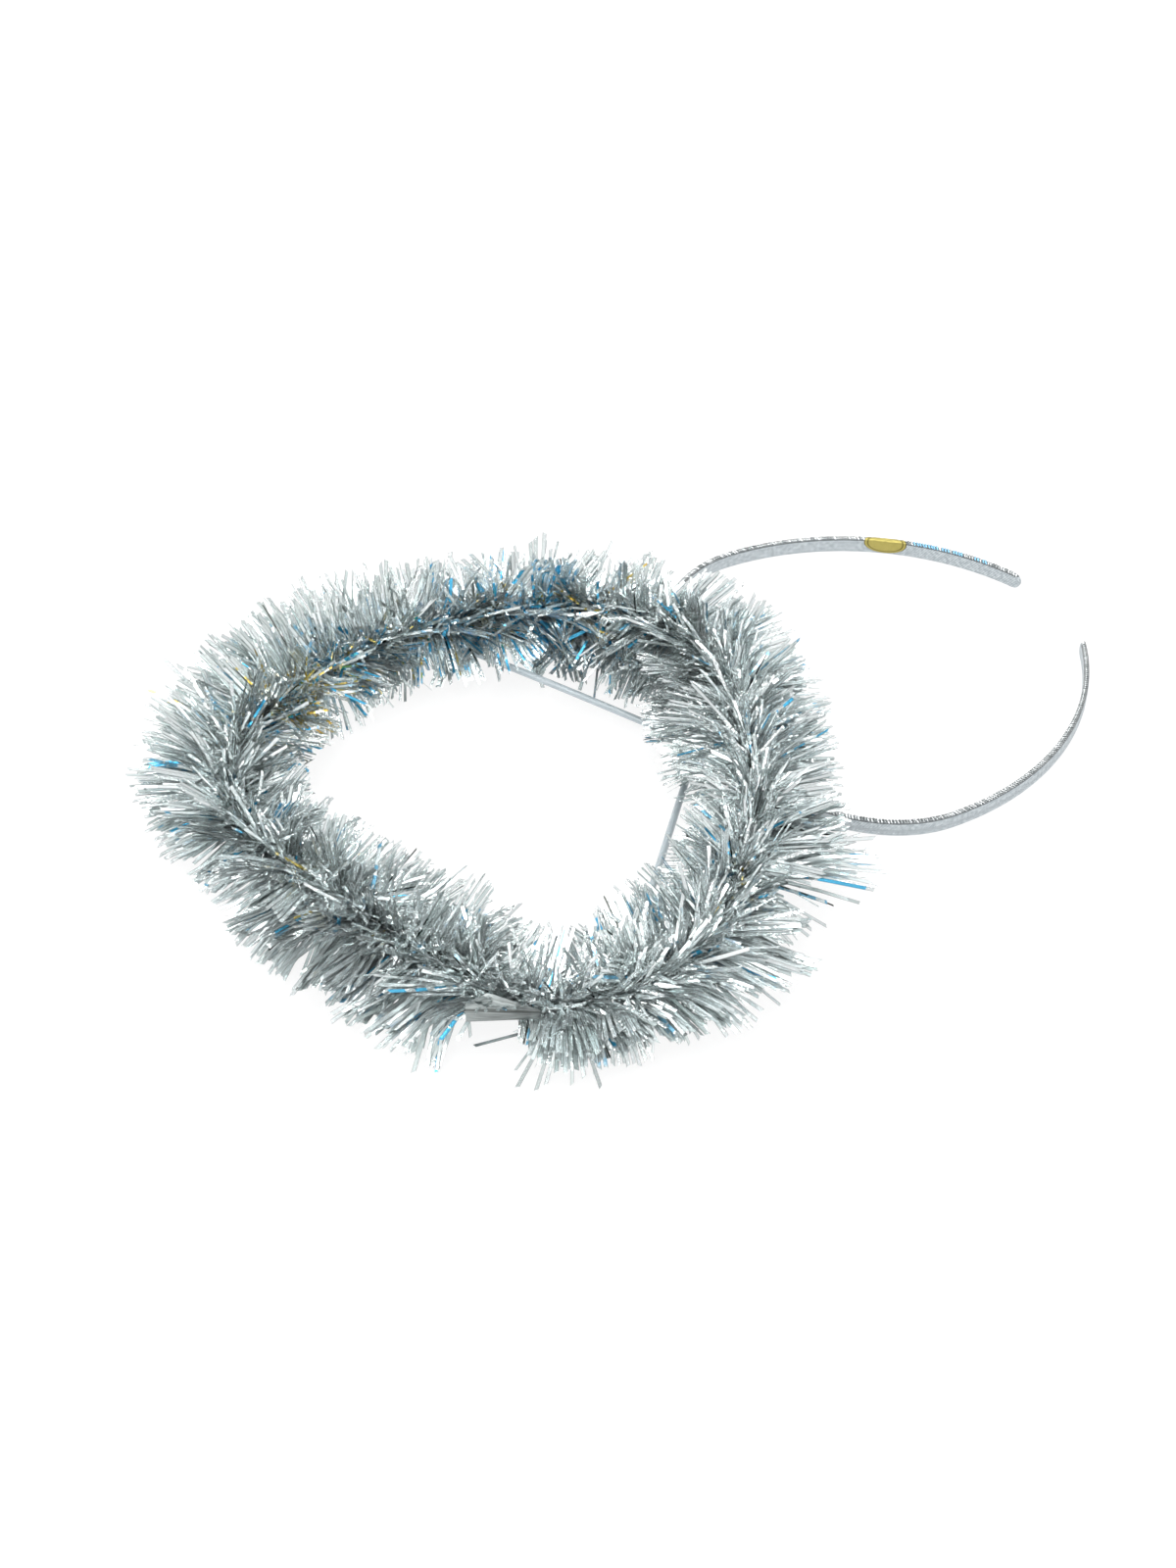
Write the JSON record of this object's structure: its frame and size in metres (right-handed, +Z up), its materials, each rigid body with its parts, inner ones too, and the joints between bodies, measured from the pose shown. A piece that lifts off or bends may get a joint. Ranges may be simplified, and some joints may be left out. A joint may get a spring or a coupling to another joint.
{
  "type": "halo headband",
  "caption": "Costume headband with a tinsel halo ring on two thin stalks, its ring folded flat beside the band.",
  "frame": {"origin": "on the surface it lies on, under the middle of its outline", "axes": "+X from the ring towards the band's two tips, +Y across the band towards the leg with the label, +Z up from the surface"},
  "size_m": [0.289, 0.2028, 0.0382],
  "materials": {
    "silver_cloth": "ribbed metallic cloth, satin",
    "gold_paper": "gold foil paper, satin",
    "clear_sleeve": "translucent, glossy",
    "clip_plastic": "matte",
    "uncut_film": "metallised film, glossy",
    "tinsel_film": "metallised film, glossy"
  },
  "bodies": {
    "root": {"headband": "silver_cloth", "label": "gold_paper", "stalk_left": "clear_sleeve", "stalk_right": "clear_sleeve", "crown_clip": "clip_plastic", "join_wrap": "uncut_film", "tinsel_garland": "tinsel_film"}
  },
  "joints": []
}
